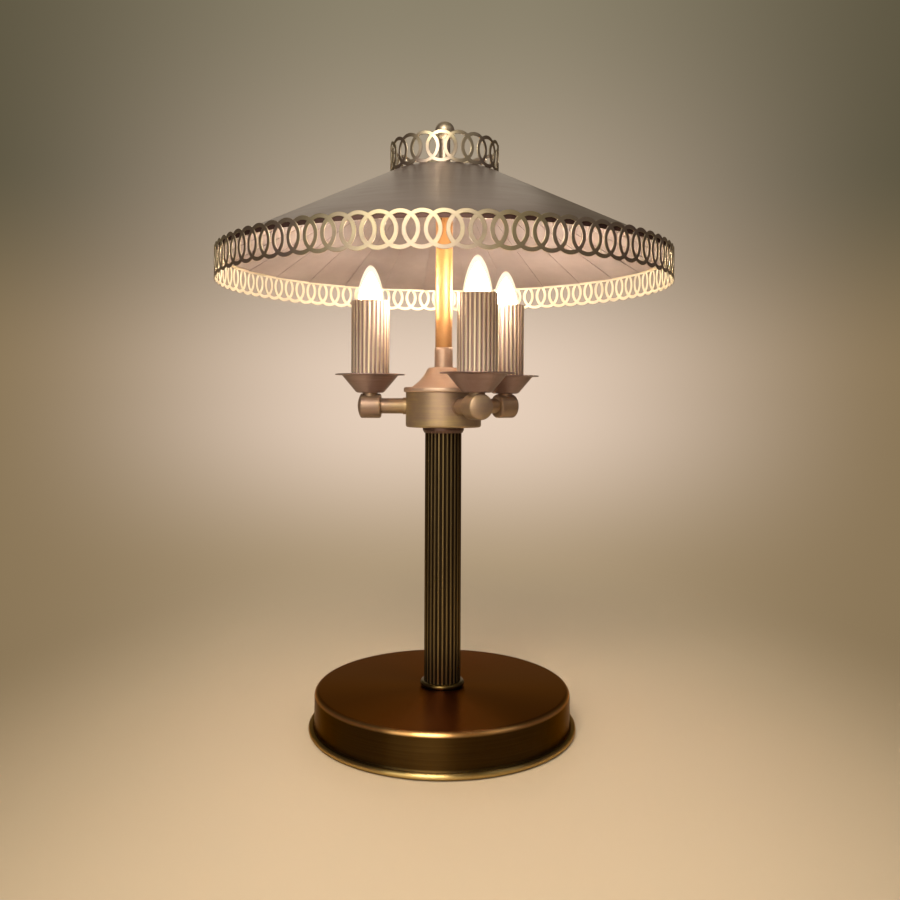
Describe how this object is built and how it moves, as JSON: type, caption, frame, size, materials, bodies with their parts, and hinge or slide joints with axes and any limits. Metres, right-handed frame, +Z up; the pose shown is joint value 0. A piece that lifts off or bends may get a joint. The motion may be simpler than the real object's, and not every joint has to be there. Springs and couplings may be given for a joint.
{
  "type": "table lamp",
  "caption": "Table lamp with candle lights on arms round a fluted column, under a wide conical metal shade trimmed with bands of interlocking rings.",
  "frame": {"origin": "on the table under the middle of the base", "axes": "+Z up along the column, +Y to the rear where the cord enters, -Y towards the viewer"},
  "size_m": [0.476, 0.476, 0.6448],
  "materials": {
    "bronzed_brass": "satin, brown patina",
    "antique_brass": "satin, olive patina",
    "shade_sheet": "satin, mauve-brown patina",
    "lining_leaf": "satin",
    "ring_brass": "satin",
    "zinc_steel": "zinc plated",
    "weight_iron": "rough cast",
    "cover_plate": "matt",
    "felt": "napped",
    "black_moulding": "moulded",
    "terminal_ceramic": "unglazed",
    "lead_sheath": "extruded",
    "holder_moulding": "moulded",
    "contact_brass": "bright",
    "bulb_glass": "frosted, lit",
    "bulb_cap_metal": "rolled thread"
  },
  "bodies": {
    "stand": {"base_shell": "bronzed_brass", "hub_cap": "bronzed_brass", "shade_rod": "bronzed_brass", "drip_pan_left": "bronzed_brass", "drip_pan_front": "bronzed_brass", "drip_pan_rear": "bronzed_brass", "foot_ring": "antique_brass", "column_tube": "antique_brass", "column_collar": "antique_brass", "hub_body": "antique_brass", "rod_coupling": "antique_brass", "arm_seats": "antique_brass", "arm_left": "antique_brass", "arm_front": "antique_brass", "arm_rear": "antique_brass", "knuckle_left": "antique_brass", "knuckle_front": "antique_brass", "knuckle_rear": "antique_brass", "base_washer": "zinc_steel", "base_nut": "zinc_steel", "tie_rod": "zinc_steel", "hub_nut": "zinc_steel", "arm_lock_nuts": "zinc_steel", "candle_nipples": "zinc_steel", "base_weight": "weight_iron", "base_cover": "cover_plate", "felt_pad": "felt", "cord_bushing": "black_moulding", "terminal_ring": "terminal_ceramic", "arm_leads": "lead_sheath", "lampholder_left": "holder_moulding", "lampholder_front": "holder_moulding", "lampholder_rear": "holder_moulding", "screw_shells": "contact_brass", "centre_contacts": "contact_brass"},
    "shade": {"shade_cone": "shade_sheet", "shade_lining": "lining_leaf", "rim_band": "ring_brass", "gallery_band": "ring_brass", "shade_spider": "antique_brass"},
    "finial": {"finial": "ring_brass", "finial_washer": "zinc_steel"},
    "bulb_left": {"bulb_glass_left": "bulb_glass", "bulb_cap_left": "bulb_cap_metal"},
    "sleeve_left": {"sleeve_left": "antique_brass"},
    "bulb_front": {"bulb_glass_front": "bulb_glass", "bulb_cap_front": "bulb_cap_metal"},
    "sleeve_front": {"sleeve_front": "antique_brass"},
    "bulb_rear": {"bulb_glass_rear": "bulb_glass", "bulb_cap_rear": "bulb_cap_metal"},
    "sleeve_rear": {"sleeve_rear": "antique_brass"}
  },
  "joints": [
    {"name": "shade_swivel", "type": "hinge", "parent": "stand", "child": "shade", "pos_m": [0, 0, 0.5852], "axis": [0, 0, 1], "continuous": true},
    {"name": "finial_turn", "type": "hinge", "parent": "stand", "child": "finial", "pos_m": [0, 0, 0.5978], "axis": [0, 0, 1], "range_deg": [0, 1440]},
    {"name": "bulb_left_turn", "type": "hinge", "parent": "stand", "child": "bulb_left", "pos_m": [-0.0785, 0, 0.3986], "axis": [0, 0, 1], "range_deg": [0, 900]},
    {"name": "bulb_front_turn", "type": "hinge", "parent": "stand", "child": "bulb_front", "pos_m": [0.03318, -0.07114, 0.3986], "axis": [0, 0, 1], "range_deg": [0, 900]},
    {"name": "bulb_rear_turn", "type": "hinge", "parent": "stand", "child": "bulb_rear", "pos_m": [0.06866, 0.03806, 0.3986], "axis": [0, 0, 1], "range_deg": [0, 900]},
    {"name": "sleeve_left_lift", "type": "slide", "parent": "stand", "child": "sleeve_left", "axis": [0, 0, 1], "range_m": [0, 0.09]},
    {"name": "sleeve_front_lift", "type": "slide", "parent": "stand", "child": "sleeve_front", "axis": [0, 0, 1], "range_m": [0, 0.09]},
    {"name": "sleeve_rear_lift", "type": "slide", "parent": "stand", "child": "sleeve_rear", "axis": [0, 0, 1], "range_m": [0, 0.09]}
  ]
}
